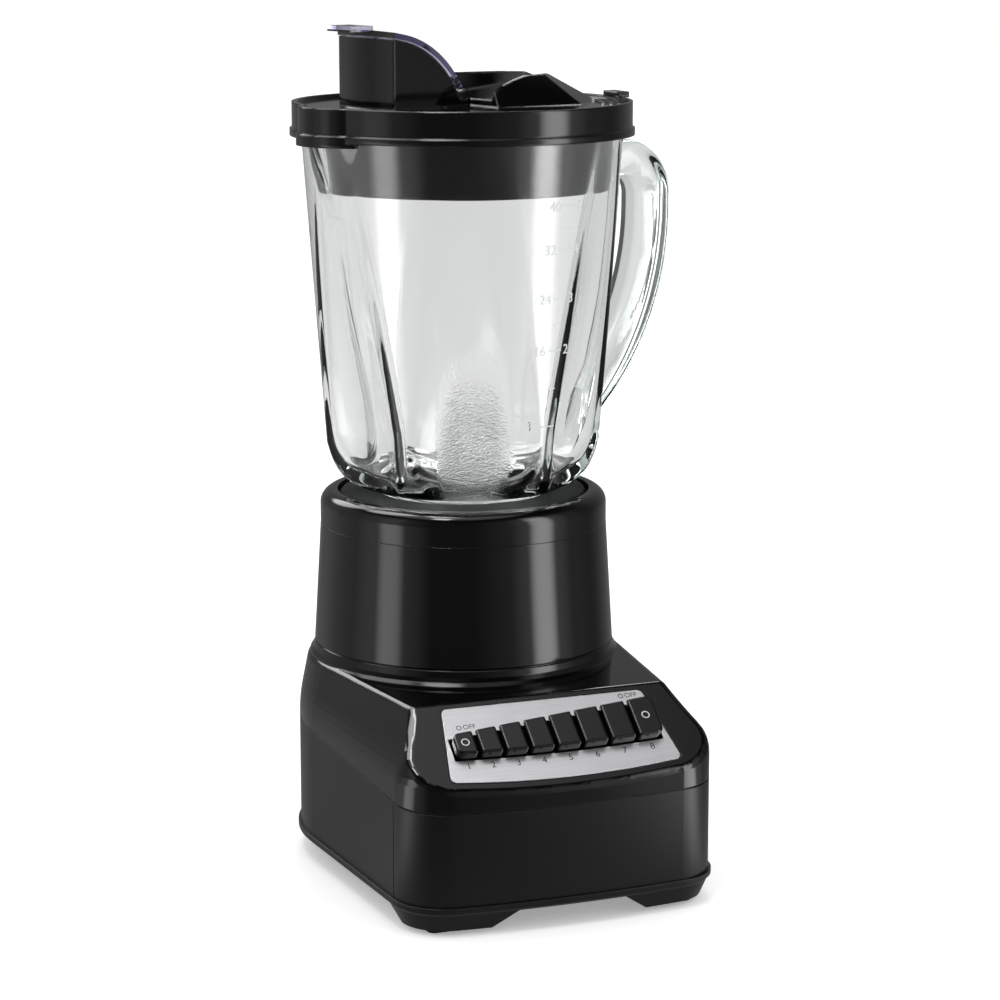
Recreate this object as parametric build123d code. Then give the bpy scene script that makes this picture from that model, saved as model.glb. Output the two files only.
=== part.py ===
from build123d import *
import os
from math import acos, atan, atan2, cos, degrees, hypot, radians, sin, tan

# Countertop blender. Millimetres, +Z up, front towards -Y.
# While modelling, the jar axis is X = Y = 0 and the feet stand on Z = 0.
# Jar, lid and cap are drawn with the pouring lip towards -X and the handle towards +X, then turned by jar_turn.

# Clearances
running_gap = 0.04          # shaft in its bearing
slide_gap = 0.15            # guided sliding piece, each side
seat_gap = 0.3              # pieces that are set into each other by hand
screw_gap = 0.05            # screw shank in its hole

# Base plan
base_back_radius = 76.8
base_back_centre = -8.0
base_half_width = 69.8
base_reach = 131.0
base_bulge = 5.0
base_corner = 22.0
base_wall = 2.6

# Base heights
foot_height = 2.0
cover_bottom = 9.5
cover_thickness = 2.6
wall_bottom = 13.0
seam_front_height = 53.0
seam_tilt = 4.1
seam_groove = 0.6
shoulder_height = 70.0
deck_height = 90.5
tower_top = 149.0

# Deck, control slope and tower
deck_back_radius = 70.0
deck_half_width = 53.0
deck_corner = 15.0
slope_angle = 37.5
slope_top_reach = 92.0
tower_top_radius = 64.0
tower_taper = 0.0584
skirt_radius = 69.3
skirt_height = 2.0
tower_line_height = 95.6
edge_round = 4.0
shoulder_soft = 6.0

# Bottom cover
cover_lip = 1.2
cover_upstand = 4.0
upstand_thickness = 2.0
vent_count = 7
vent_length = 40.0
vent_width = 4.0
vent_pitch = 10.0
leg_draft = 3.0
front_leg_inner = 35.0
front_leg_back = 107.0
rear_leg_inner = 14.0
rear_leg_front = 34.0
leg_slant = 11.0
pad_length = 20.0
pad_width = 10.0
pad_height = 4.0
front_pad = (50.0, -114.5)
rear_pad = (29.0, 49.0)

# Screws that close the base
boss_radius = 5.5
housing_screw_radius = 1.9
screw_head_radius = 3.6
screw_head_height = 2.4
screw_grip = 12.0
front_boss = (61.0, -90.0)
rear_boss = (58.0, 12.0)
rib_width = 3.0

# Control panel, measured along the slope from its top edge
plate_top = 3.4
plate_bottom = 40.8
plate_bow = 3.4
plate_top_half = 45.5
plate_bottom_half = 52.0
plate_corner = 2.5
plate_thickness = 1.0
plate_recess = 0.8
button_count = 8
button_first_width = 9.0
button_growth = 0.36
button_gap = 1.6
button_rise = 5.0
button_travel = 3.5
button_skirt = 2.4
button_round = 0.9
row_high_middle = 14.7
row_high_rise = 0.104
row_low_middle = 31.0
row_low_centre = -2.0
row_low_bow = 0.0006
window_margin = 0.6
stem_side = 4.0
stem_length = 10.0
switch_half_length = 49.0
switch_top = 10.0
switch_bottom = 36.5
switch_depth = 15.0
ear_length = 8.0
ear_thickness = 2.5
switch_screw_radius = 1.4
latch_length = 88.0
latch_width = 2.4
latch_height = 4.0
latch_travel = 1.5
latch_station = 33.0

# Motor
shaft_radius = 4.0
bearing_radius = 8.0
armature_radius = 21.5
air_gap = 1.1
stator_half_x = 44.0
stator_half_y = 36.0
stator_corner = 10.0
stator_bottom = 66.0
stator_height = 38.0
coil_width = 9.0
coil_depth = 11.0
coil_inner_x = 21.0
coil_inner_y = 14.5
coil_gap = 0.4
bracket_thickness = 4.0
bracket_half = 42.0
bracket_gap = 14.0
lower_gap = 28.0
motor_bolt_x = 37.0
motor_bolt_radius = 2.2
post_radius = 5.5
commutator_radius = 12.0
commutator_bottom = 43.0
commutator_height = 14.0
brush_width = 6.0
brush_height = 9.0
brush_length = 16.0
brush_wall = 2.0
fan_radius = 31.0
fan_height = 10.0
fan_hub_radius = 9.0
fan_blades = 9
fan_blade_thickness = 1.4
web_bottom = 128.0
web_thickness = 3.0
web_hole = 20.0
mount_offset = 34.0
mount_radius = 6.0
mount_screw_radius = 2.0
mount_boss = 4.0

# Drive coupling and jar foot
coupling_hex = 9.0
coupling_flange = 14.5
coupling_height = 8.0
coupling_gap = 1.0
drive_bottom = 126.0
drive_flange_top = 133.0
seat_height = 142.0
seat_thickness = 3.0
seat_hole = 30.0
collar_top = 163.5
collar_round = 6.0
socket_radius = 56.3
collar_screw_circle = 48.0
collar_screw_radius = 1.8
jar_collar_floor = 145.0
jar_collar_thickness = 3.0
jar_collar_hole = 20.0
jar_collar_top = 163.0
blade_base_radius = 36.5
blade_base_thickness = 3.0
blade_hub_radius = 9.0
blade_seat = 160.0
blade_thickness = 1.6
blade_reach = 28.0
blade_width = 12.0
blade_stud = 3.0
upper_blade_tilt = 32.0
lower_blade_tilt = 12.0
nut_radius = 6.5
nut_height = 6.0
gasket_thickness = 1.5

# Glass jar
jar_turn = 15.0
neck_radius = 38.0
glass_wall = 4.2
neck_wall = 6.0
jar_floor = 164.5
jar_foot_radius = 60.8
jar_foot_height = 185.0
foot_inset = 2.6
foot_turns = ((13.0, 0.0), (5.5, 4.5), (0.0, 11.0))    # in from the foot, up from the floor
jar_rim_radius = 70.9
jar_rim_height = 326.0
flute_count = 6
flute_apex = 297.0
flute_slope = 0.217
flute_radius = 40.0
flute_end = 162.0
spout_centre = 56.5
spout_radius = 20.2
spout_start = 288.0
spout_start_centre = 48.0
spout_start_radius = 14.0
handle_width = 23.0
handle_depth = 16.0
handle_round = 6.0
handle_path = ((62.0, 305.0), (103.5, 308.5), (102.6, 237.0), (50.0, 178.0))
handle_bends = (18.0, 120.0)

# Lid
lid_radius = 74.6
lid_wall = 2.2
lid_bottom = 321.0
lid_top = 335.5
lid_recess = 1.5
lid_bead = 1.0
bead_height = 3.0
plug_radius = 62.6
plug_bottom = 298.0
plug_taper = 3.0
rim_land = 2.5
bulge_centre = 57.0
bulge_radius = 23.7
bulge_drop = 2.0
grip_lines = (62.0, 65.5, 69.0)
grip_turn = -12.0
grip_half_angle = 34.0
grip_height = 0.8
tab_reach = 78.0
tab_half_width = 7.0
tab_thickness = 2.6
tab_rise = 2.2

# Filler chute, cap and hinge
chute_reach = 54.3
chute_round_x = 50.3
chute_end_x = 8.0
chute_half_width = 21.0
chute_hinge_half = 12.5
chute_wall = 2.2
chute_base = 337.0
cap_top = 365.7
cap_fall = 0.18
cap_bend_x = 44.5
cap_end_x = -7.0
cap_thickness = 2.4
cap_overhang = 1.0
cap_tab_reach = 64.0
cap_tab_half = 9.0
hinge_x = -6.5
hinge_z = 338.5
hinge_pin_radius = 1.25
hinge_barrel = 2.7
barrel_half = 8.0
ear_width = 3.0
mound_top = 346.5
mound_base = ((-3.0, 31.0), (40.0, 36.0), (64.0, 16.0))
mound_crest = ((-1.0, 22.0), (32.0, 17.0), (40.0, 8.0))
channel_low = (335.6, 344.0)
channel_from = -12.0
channel_to = 48.0
channel_near = (30.0, 1.5)
channel_far = (21.0, 1.5)
channel_flare = (1.5, 11.5)

# Cord inlet at the back
inlet_height = 27.0
inlet_radius = 6.0
inlet_bore = 3.5
inlet_flange = 8.5
inlet_flange_thickness = 2.5
inlet_depth = 9.0


# Plain solids about the jar axis

def disc(radius, low, high):
    return Pos(0, 0, (low + high) / 2) * Cylinder(radius, high - low)


def ring(outer, inner, low, high):
    return disc(outer, low, high) - disc(inner, low - 1, high + 1)


def post(x, y, radius, low, high):
    return Pos(x, y, (low + high) / 2) * Cylinder(radius, high - low)


def block(x_low, x_high, y_low, y_high, z_low, z_high):
    centre = Pos((x_low + x_high) / 2, (y_low + y_high) / 2, (z_low + z_high) / 2)
    return centre * Box(x_high - x_low, y_high - y_low, z_high - z_low)


def turned(points):
    # A solid of revolution from (radius, height) points
    return revolve(Plane.XZ * make_face(Polyline(*points, close=True)), Axis.Z)


def group(solids):
    # Separate solids that are one node
    return Part() + solids


def mirrored_pairs(point):
    x, y = point
    return [(x, y), (-x, y)]


# Base plan and the form of both housings

def plan_face(height, back_radius, back_centre, half_width, reach, corner):
    # Round back, sides that leave it in line, bowed front with round corners
    corner_y = base_bulge - reach
    span = hypot(half_width, corner_y - back_centre)
    lean = atan2(corner_y - back_centre, half_width) + acos(back_radius / span)
    side_x = back_radius * cos(lean)
    side_y = back_centre + back_radius * sin(lean)
    outline = [
        ThreePointArc((side_x, side_y), (0, back_centre + back_radius), (-side_x, side_y)),
        Line((-side_x, side_y), (-half_width, corner_y)),
        ThreePointArc((-half_width, corner_y), (0, -reach), (half_width, corner_y)),
        Line((half_width, corner_y), (side_x, side_y)),
    ]
    face = make_face(outline)
    front_corners = face.vertices().sort_by(Axis.Y)[:2]
    return Pos(0, 0, height) * fillet(front_corners, corner)


def wall_plan(height, inset=0.0):
    return plan_face(height, base_back_radius - inset, base_back_centre, base_half_width - inset,
                     base_reach - inset, base_corner - inset)


def shoulder_plan(height, inset=0.0):
    # The wall's plan is drawn in towards the deck's plan, along a soft bend at the shoulder
    bend_low = shoulder_height - shoulder_soft
    bend_high = shoulder_height + shoulder_soft
    rise = deck_height - shoulder_height
    share = (height - shoulder_height) / rise
    if height < bend_high:
        share = (height - bend_low) ** 2 / (4 * shoulder_soft * rise)

    def between(wall, deck):
        return wall + (deck - wall) * share

    return plan_face(height - inset * share, between(base_back_radius, deck_back_radius) - inset,
                     between(base_back_centre, 0), between(base_half_width, deck_half_width) - inset,
                     base_reach - inset, between(base_corner, deck_corner) - inset)


def wall_prism(low, high, inset=0.0):
    return extrude(wall_plan(low, inset), high - low)


def tower_radius(height):
    return tower_top_radius + (tower_top - height) * tower_taper


panel_plane = Plane((0, -slope_top_reach, deck_height), x_dir=(1, 0, 0),
                    z_dir=(0, -sin(radians(slope_angle)), cos(radians(slope_angle))))
huge = 4 * base_reach


def above_slope(inset=0.0):
    # Everything in front of and above the control slope
    return panel_plane * Pos(0, 0, huge / 2 - inset) * Box(huge, huge, huge)


def shoulder_form(inset=0.0):
    bend_low = shoulder_height - shoulder_soft
    levels = [bend_low + shoulder_soft * step / 2 for step in range(5)] + [deck_height]
    drawn_in = loft([shoulder_plan(height, inset).face() for height in levels], ruled=True)
    return wall_prism(wall_bottom, bend_low, inset) + drawn_in - above_slope(inset)


seam_plane = Plane((0, -base_reach, seam_front_height), x_dir=(1, 0, 0),
                   z_dir=(0, -sin(radians(seam_tilt)), cos(radians(seam_tilt))))


def seam_height(y):
    return seam_front_height + (y + base_reach) * tan(radians(seam_tilt))


def above_seam(lift=0.0):
    return seam_plane * Pos(0, 0, huge / 2 + lift) * Box(huge, huge, huge)


boss_places = mirrored_pairs(front_boss) + mirrored_pairs(rear_boss)


def boss_with_rib(x, y, low, high):
    # A screw boss, tied to the wall beside it by a rib
    outward = 1 if x > 0 else -1
    rib = block(min(x, x + outward * base_half_width), max(x, x + outward * base_half_width),
                y - rib_width / 2, y + rib_width / 2, low, high)
    return post(x, y, boss_radius, low, high) + rib


def housing_bosses(low, high, inset):
    bosses = [boss_with_rib(x, y, low, high) for x, y in boss_places]
    return Part() + bosses & wall_prism(low - 1, high + 1, inset)


def boss_holes(radius, low, high):
    return Part() + [post(x, y, radius, low, high) for x, y in boss_places]


# Panel outlines, in the plane of the slope with y running up it

def row_high(x):
    return row_high_middle - row_high_rise * x


def row_low(x):
    return row_low_middle - row_low_bow * (x - row_low_centre) ** 2


button_widths = [button_first_width + button_growth * index for index in range(button_count)]
row_half = (sum(button_widths) + button_gap * (button_count - 1)) / 2


def plate_outline(margin=0.0):
    top_half = plate_top_half + margin
    bottom_half = plate_bottom_half + margin
    top = margin - plate_top
    bottom = -plate_bottom - margin
    outline = [
        Line((-top_half, top), (top_half, top)),
        Line((top_half, top), (bottom_half, bottom)),
        ThreePointArc((bottom_half, bottom), (0, bottom - plate_bow), (-bottom_half, bottom)),
        Line((-bottom_half, bottom), (-top_half, top)),
    ]
    face = make_face(outline)
    return fillet(face.vertices(), plate_corner)


def window_outline(margin=window_margin):
    left = -row_half - margin
    right = row_half + margin
    low_points = [(x, -row_low(x) - margin) for x in (left, row_low_centre, right)]
    outline = [
        Line((left, margin - row_high(left)), (right, margin - row_high(right))),
        Line((right, margin - row_high(right)), low_points[2]),
        ThreePointArc(low_points[2], low_points[1], low_points[0]),
        Line(low_points[0], (left, margin - row_high(left))),
    ]
    return make_face(outline)


def on_panel(shape):
    return panel_plane * shape


def panel_prism(face, low, high):
    return on_panel(Pos(0, 0, low) * extrude(face, high - low))


switch_face = -button_skirt - button_travel - 2 * seat_gap
switch_middle = (switch_top + switch_bottom) / 2
ear_places = [(-switch_half_length - ear_length / 2, -switch_middle),
              (switch_half_length + ear_length / 2, -switch_middle)]


def panel_post(place, radius, low, high):
    return on_panel(Pos(place[0], place[1], (low + high) / 2) * Cylinder(radius, high - low))


pieces = {}

# Upper housing: shoulder, deck, control slope and tower in one shell

shoulder = shoulder_form()
top_faces = [face for face in shoulder.faces() if abs(panel_plane.to_local_coords(face.center()).Z) < 0.01
             or abs(face.center().Z - deck_height) < 0.01]
shoulder = fillet(ShapeList(edge for face in top_faces for edge in face.edges()), edge_round)

skirt_line = deck_height + skirt_height
tower = turned([
    (0, shoulder_height), (skirt_radius, shoulder_height), (skirt_radius, deck_height),
    (tower_radius(skirt_line) + seam_groove, skirt_line),
    (tower_radius(tower_line_height), tower_line_height - seam_groove),
    (tower_radius(tower_line_height) - seam_groove, tower_line_height),
    (tower_radius(tower_line_height), tower_line_height + seam_groove),
    (tower_top_radius, tower_top), (0, tower_top)])
tower_bore = turned([
    (0, wall_bottom), (tower_radius(wall_bottom) - base_wall, wall_bottom),
    (tower_radius(tower_top + 1) - base_wall, tower_top + 1), (0, tower_top + 1)])
bore_limit = shoulder_form(base_wall) + disc(tower_radius(deck_height), deck_height - base_wall, tower_top + 2)
housing_hollow = shoulder_form(base_wall) + (tower_bore & bore_limit)
upper_shell = shoulder + tower - housing_hollow

web = disc(tower_radius(web_bottom) - base_wall / 2, web_bottom, web_bottom + web_thickness)
mount_places = [(x, y) for x in (-mount_offset, mount_offset) for y in (-mount_offset, mount_offset)]
web += [post(x, y, mount_radius, web_bottom, web_bottom + web_thickness + mount_boss) for x, y in mount_places]
web -= disc(web_hole, web_bottom - 1, web_bottom + web_thickness + 1)
mount_screw_top = web_bottom + web_thickness + mount_boss - 1
web -= [post(x, y, mount_screw_radius + screw_gap, web_bottom - 1, mount_screw_top + seat_gap)
        for x, y in mount_places]
collar_screw_places = [(collar_screw_circle * cos(radians(turn)), collar_screw_circle * sin(radians(turn)))
                       for turn in (0, 120, 240)]
web -= [post(x, y, collar_screw_radius + screw_gap, web_bottom - 1, web_bottom + web_thickness + 1)
        for x, y in collar_screw_places]

upper_boss_top = seam_height(front_boss[1]) + screw_grip
upper_shell += housing_bosses(seam_front_height - 5, upper_boss_top, base_wall / 2)
upper_shell += web
ear_bosses = [panel_post(place, 1.6 * switch_screw_radius + 1, switch_face, -base_wall / 2) for place in ear_places]
upper_shell += ear_bosses
upper_shell = upper_shell & above_seam()
upper_shell -= boss_holes(housing_screw_radius + screw_gap, 0, upper_boss_top - 2)
upper_shell -= panel_prism(plate_outline(seat_gap), -plate_recess, 2 * edge_round)
upper_shell -= panel_prism(window_outline(), -base_wall - 1, 2 * edge_round)
ear_screw_top = -base_wall
upper_shell -= [panel_post(place, switch_screw_radius + screw_gap, switch_face - 1, ear_screw_top)
                for place in ear_places]
pieces["upper_housing"] = upper_shell

# Lower housing: the band below the seam

lower_shell = wall_prism(wall_bottom, shoulder_height) - wall_prism(wall_bottom - 1, shoulder_height + 1, base_wall)
lower_shell += housing_bosses(wall_bottom, shoulder_height, base_wall / 2)
seam_rebate = wall_prism(wall_bottom, shoulder_height, -1) - wall_prism(wall_bottom, shoulder_height, seam_groove)
lower_shell -= seam_rebate & above_seam(-seam_groove)
lower_shell -= above_seam()
lower_shell -= boss_holes(housing_screw_radius + screw_gap, 0, shoulder_height + 1)
panel_line = base_reach - base_corner - 3
for side in (-1, 1):
    line_cut = block(-huge, huge, -panel_line - seam_groove / 2, -panel_line + seam_groove / 2, wall_bottom - 1,
                     shoulder_height)
    edge_only = wall_prism(wall_bottom - 1, shoulder_height, -1) - wall_prism(wall_bottom - 2, shoulder_height + 1,
                                                                          seam_groove)
    lower_shell -= line_cut & edge_only & block(min(0, side * huge), max(0, side * huge), -huge, huge, 0, huge)
back_y = base_back_centre + base_back_radius
inlet_axis = Pos(0, back_y, inlet_height) * Rot(-90, 0, 0)
lower_shell -= inlet_axis * Cylinder(inlet_radius + seat_gap / 2, 4 * base_wall)
pieces["lower_housing"] = lower_shell

# Cord inlet: a flanged bush in the back wall
inlet = inlet_axis * (Pos(0, 0, -inlet_depth / 2 + seat_gap / 2) * Cylinder(inlet_radius, inlet_depth + seat_gap))
inlet += inlet_axis * (Pos(0, 0, seat_gap + inlet_flange_thickness / 2)
                       * Cylinder(inlet_flange, inlet_flange_thickness))
inlet -= inlet_axis * Cylinder(inlet_bore, 4 * inlet_depth)
pieces["cord_inlet"] = inlet

# Bottom cover with its legs

cover_top = cover_bottom + cover_thickness
cover = wall_prism(cover_bottom, wall_bottom, -cover_lip)
cover_edges = cover.faces().sort_by(Axis.Z)[0].edges()
cover = chamfer(cover_edges, cover_lip)
cover -= wall_prism(cover_top, wall_bottom + 1, base_wall + upstand_thickness + seat_gap)
upstand = wall_prism(cover_top, wall_bottom + cover_upstand, base_wall + seat_gap)
upstand -= wall_prism(cover_top - 1, wall_bottom + cover_upstand + 1, base_wall + seat_gap + upstand_thickness)
for x, y in boss_places:
    upstand -= post(x, y, boss_radius + seat_gap, cover_top - 1, wall_bottom + cover_upstand + 1)
    upstand -= block(x - huge, x + huge, y - rib_width / 2 - seat_gap, y + rib_width / 2 + seat_gap, cover_top - 1,
                     wall_bottom + cover_upstand + 1)
cover += upstand
cover += [post(x, y, boss_radius, cover_bottom, wall_bottom) for x, y in boss_places]

leg_form = loft([wall_plan(foot_height, leg_draft).face(), wall_plan(cover_bottom, 0).face()], ruled=True)


def leg_wedge(low_edge, high_edge, far):
    # Side view of a leg: upright outside, slanted inside
    return make_face(Polyline((high_edge, cover_bottom), (low_edge, foot_height), (far, foot_height),
                              (far, cover_bottom), close=True))


def leg(inner, turn_back, towards):
    across = extrude(Plane.XZ * leg_wedge(inner, inner - leg_slant, huge), huge, both=True)
    along = extrude(Plane.YZ * leg_wedge(turn_back, turn_back - towards * leg_slant / 2, towards * huge), huge,
                    both=True)
    return across & along & leg_form


right_legs = leg(front_leg_inner, -front_leg_back, -1) + leg(rear_leg_inner, rear_leg_front, 1)
cover += right_legs + mirror(right_legs, Plane.YZ)
pad_places = mirrored_pairs(front_pad) + mirrored_pairs(rear_pad)


def pad(x, y, margin):
    outline = RectangleRounded(pad_length + 2 * margin, pad_width + 2 * margin, pad_width / 3)
    return Pos(x, y, 0) * extrude(outline, pad_height + margin)


cover -= [pad(x, y, slide_gap) for x, y in pad_places]
first_vent = -vent_pitch * (vent_count - 1) / 2
for index in range(vent_count):
    slot = extrude(SlotOverall(vent_length, vent_width), cover_thickness * 3)
    cover -= Pos(first_vent + vent_pitch * index, -vent_length / 4, cover_bottom - cover_thickness) * Rot(0, 0, 90) * slot
cover -= boss_holes(housing_screw_radius + screw_gap, 0, cover_top + 1)
pieces["bottom_cover"] = cover
pieces["rubber_feet"] = group([pad(x, y, 0) for x, y in pad_places])

screws = []
for x, y in boss_places:
    shank = post(x, y, housing_screw_radius, cover_bottom, upper_boss_top - 3)
    screws.append(shank + post(x, y, screw_head_radius, cover_bottom - screw_head_height, cover_bottom))
pieces["housing_screws"] = group(screws)

# Top collar: the ring that the jar stands in

collar_outer = disc(tower_top_radius, tower_top, collar_top)
collar_outer = fillet(collar_outer.edges().sort_by(Axis.Z)[-1], collar_round)
skirt_out = tower_top_radius - base_wall - seat_gap
collar = collar_outer + disc(skirt_out, seat_height - seat_thickness, tower_top)
collar -= disc(socket_radius, seat_height, collar_top + 1)
collar -= disc(seat_hole, seat_height - seat_thickness - 1, seat_height + 1)
collar_boss_low = web_bottom + web_thickness
collar += [post(x, y, boss_radius, collar_boss_low, seat_height - seat_thickness / 2) for x, y in collar_screw_places]
collar -= [post(x, y, collar_screw_radius + screw_gap, collar_boss_low - 1, seat_height - seat_thickness / 2)
           for x, y in collar_screw_places]
pieces["top_collar"] = collar
collar_screws = []
for x, y in collar_screw_places:
    shank = post(x, y, collar_screw_radius, web_bottom, seat_height - seat_thickness)
    collar_screws.append(shank + post(x, y, screw_head_radius, web_bottom - screw_head_height, web_bottom))
pieces["collar_screws"] = group(collar_screws)

# Control panel: plate, buttons, switch and latch bar

pieces["control_plate"] = panel_prism(plate_outline() - window_outline(), -plate_recess,
                                      plate_thickness - plate_recess)

stem_holes = []
left = -row_half
for index, width in enumerate(button_widths):
    right = left + width
    corners = [(left, -row_high(left)), (right, -row_high(right)), (right, -row_low(right)), (left, -row_low(left))]
    face = make_face(Polyline(*corners, close=True))
    middle = ((left + right) / 2, -(row_high((left + right) / 2) + row_low((left + right) / 2)) / 2)
    cap = Pos(0, 0, -button_skirt) * extrude(face, button_skirt + button_rise)
    uprights = cap.edges().filter_by(Axis.Z)
    outer_side = -1 if index == 0 else 1
    rounded = [edge for edge in uprights if index in (0, button_count - 1)
               and outer_side * (edge.center().X - middle[0]) > 0]
    plain = [edge for edge in uprights if edge not in rounded]
    if rounded:
        cap = fillet(rounded, 3.5 * button_round)
        plain = [edge for edge in cap.edges().filter_by(Axis.Z) if outer_side * (edge.center().X - middle[0]) < 0
                 and abs(edge.center().X - middle[0]) > width / 2 - button_round]
    cap = fillet(plain, button_round)
    cap = fillet(cap.faces().sort_by(Axis.Z)[-1].edges(), button_round)
    stem_low = -button_skirt - stem_length
    cap += Pos(middle[0], middle[1], (stem_low - button_skirt) / 2) * Box(stem_side, stem_side, stem_length)
    pieces["button_" + str(index + 1)] = on_panel(cap)
    stem_holes.append(Pos(middle[0], middle[1], switch_face) * Box(stem_side + 2 * slide_gap, stem_side + 2 * slide_gap,
                                                                2 * (stem_length + button_travel)))
    left = right + button_gap

switch = Pos(0, -switch_middle, switch_face - switch_depth / 2) * Box(2 * switch_half_length,
                                                                   switch_bottom - switch_top, switch_depth)
for x, y in ear_places:
    switch += Pos(x, y, switch_face - ear_thickness / 2) * Box(ear_length, ear_length, ear_thickness)
switch -= stem_holes
switch -= [Pos(x, y, switch_face) * Cylinder(switch_screw_radius + screw_gap, 4 * ear_thickness) for x, y in ear_places]
latch_centre = Pos(0, -latch_station, switch_face - switch_depth / 2)
switch -= latch_centre * Box(latch_length + 2 * latch_travel + 2 * seat_gap, latch_width + 2 * slide_gap,
                             latch_height + 2 * slide_gap)
pieces["switch_body"] = on_panel(switch)
pieces["latch_bar"] = on_panel(latch_centre * Box(latch_length, latch_width, latch_height))
switch_screws = []
for place in ear_places:
    ear_low = switch_face - ear_thickness
    shank = panel_post(place, switch_screw_radius, ear_low, ear_screw_top - seat_gap)
    switch_screws.append(shank + panel_post(place, 2 * switch_screw_radius, ear_low - screw_head_height, ear_low))
pieces["switch_screws"] = group(switch_screws)

# Motor: stator, coils and brackets

stator_top = stator_bottom + stator_height
stator_bore = armature_radius + air_gap
stator = extrude(RectangleRounded(2 * stator_half_x, 2 * stator_half_y, stator_corner), stator_height)
stator = Pos(0, 0, stator_bottom) * stator - disc(stator_bore, stator_bottom - 1, stator_top + 1)
bolt_places = mirrored_pairs((motor_bolt_x, 0))
stator -= [post(x, y, motor_bolt_radius + screw_gap, stator_bottom - 1, stator_top + 1) for x, y in bolt_places]
coils = []
for side in (-1, 1):
    y_low = min(side * coil_inner_y, side * (coil_inner_y + coil_depth))
    outer = block(-coil_inner_x - coil_width, coil_inner_x + coil_width, y_low, y_low + coil_depth,
                  stator_bottom - coil_width - coil_gap, stator_top + coil_width + coil_gap)
    coil = outer - block(-coil_inner_x, coil_inner_x, y_low - 1, y_low + coil_depth + 1, stator_bottom - coil_gap,
                         stator_top + coil_gap)
    coils.append(coil)
    for leg_side in (-1, 1):
        x_low = min(leg_side * coil_inner_x, leg_side * (coil_inner_x + coil_width))
        stator -= block(x_low - coil_gap, x_low + coil_width + coil_gap, y_low - coil_gap,
                        y_low + coil_depth + coil_gap, stator_bottom - 1, stator_top + 1)
pieces["motor_stator"] = stator
pieces["field_coils"] = group(coils)

bracket_low = stator_top + bracket_gap
bracket_top = bracket_low + bracket_thickness
bracket = Pos(0, 0, bracket_low) * extrude(RectangleRounded(2 * bracket_half, 2 * bracket_half, 9), bracket_thickness)
bracket -= [Pos(0, y, bracket_low) * Box(2 * coil_inner_x, bracket_half, 3 * bracket_thickness)
            for y in (-bracket_half, bracket_half)]
bearing_low = bracket_low - bracket_thickness
bearing_high = bracket_top + bracket_thickness / 2
bracket += disc(bearing_radius + bracket_thickness, bearing_low, bearing_high)
bracket += [post(x, y, post_radius, stator_top, bracket_low) for x, y in bolt_places]
bracket -= disc(bearing_radius, bearing_low - 1, bearing_high + 1)
bracket -= [post(x, y, motor_bolt_radius + screw_gap, stator_top - 1, bracket_top + 1) for x, y in bolt_places]
bracket -= [post(x, y, mount_screw_radius + screw_gap, bracket_low - 1, bracket_top + 1) for x, y in mount_places]
pieces["upper_bracket"] = bracket

lower_top = stator_bottom - lower_gap
lower_low = lower_top - bracket_thickness
brush_reach = commutator_radius + seat_gap + brush_length
bridge = block(-motor_bolt_x - post_radius, motor_bolt_x + post_radius, -post_radius - 4, post_radius + 4, lower_low,
               lower_top)
bridge += block(-post_radius - 4, post_radius + 4, -brush_reach - brush_wall, brush_reach + brush_wall, lower_low,
                lower_top)
bridge += [post(x, y, post_radius, lower_top, stator_bottom) for x, y in bolt_places]
lower_bearing = (lower_low - bracket_thickness / 2, lower_top)
bridge += disc(bearing_radius + bracket_thickness, lower_bearing[0], lower_bearing[1])
bridge -= disc(bearing_radius, lower_bearing[0] - 1, lower_bearing[1] + 1)
bridge -= [post(x, y, motor_bolt_radius + screw_gap, lower_low - 1, stator_bottom + 1) for x, y in bolt_places]
pieces["lower_bracket"] = bridge

bearing_bore = shaft_radius + running_gap
pieces["shaft_bearings"] = group([
    ring(bearing_radius - screw_gap, bearing_bore, bearing_low, bearing_high),
    ring(bearing_radius - screw_gap, bearing_bore, lower_bearing[0], lower_bearing[1])])
bolts = []
for x, y in bolt_places:
    shank = post(x, y, motor_bolt_radius, lower_low, bracket_top)
    head = post(x, y, 2 * motor_bolt_radius, lower_low - screw_head_height, lower_low)
    bolts.append(shank + head + post(x, y, 2 * motor_bolt_radius, bracket_top, bracket_top + screw_head_height))
pieces["motor_bolts"] = group(bolts)
pieces["motor_mounts"] = group([
    post(x, y, mount_radius, bracket_top, web_bottom)
    - post(x, y, mount_screw_radius + screw_gap, bracket_top - 1, web_bottom + 1) for x, y in mount_places])
mount_screws = []
for x, y in mount_places:
    shank = post(x, y, mount_screw_radius, bracket_low, mount_screw_top)
    mount_screws.append(shank + post(x, y, screw_head_radius, bracket_low - screw_head_height, bracket_low))
pieces["mount_screws"] = group(mount_screws)

holders = []
brushes = []
brush_middle = commutator_bottom + commutator_height / 2
brush_start = commutator_radius + seat_gap
for side in (-1, 1):
    near = side * (brush_start + 2 * brush_wall)
    far = side * (brush_reach + brush_wall)
    holder = block(-brush_width / 2 - brush_wall, brush_width / 2 + brush_wall, min(near, far), max(near, far),
                   lower_top, brush_middle + brush_height / 2 + brush_wall)
    y_low = min(side * brush_start, side * brush_reach)
    brush = block(-brush_width / 2, brush_width / 2, y_low, y_low + brush_length, brush_middle - brush_height / 2,
                  brush_middle + brush_height / 2)
    brush_slot = block(-brush_width / 2 - screw_gap, brush_width / 2 + screw_gap, y_low, y_low + brush_length,
                       brush_middle - brush_height / 2 - screw_gap, brush_middle + brush_height / 2 + screw_gap)
    holders.append(holder - brush_slot)
    brushes.append(brush)
pieces["brush_holders"] = group(holders)
pieces["carbon_brushes"] = group(brushes)

# Rotor: shaft, armature, commutator, fan and drive coupling

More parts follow.
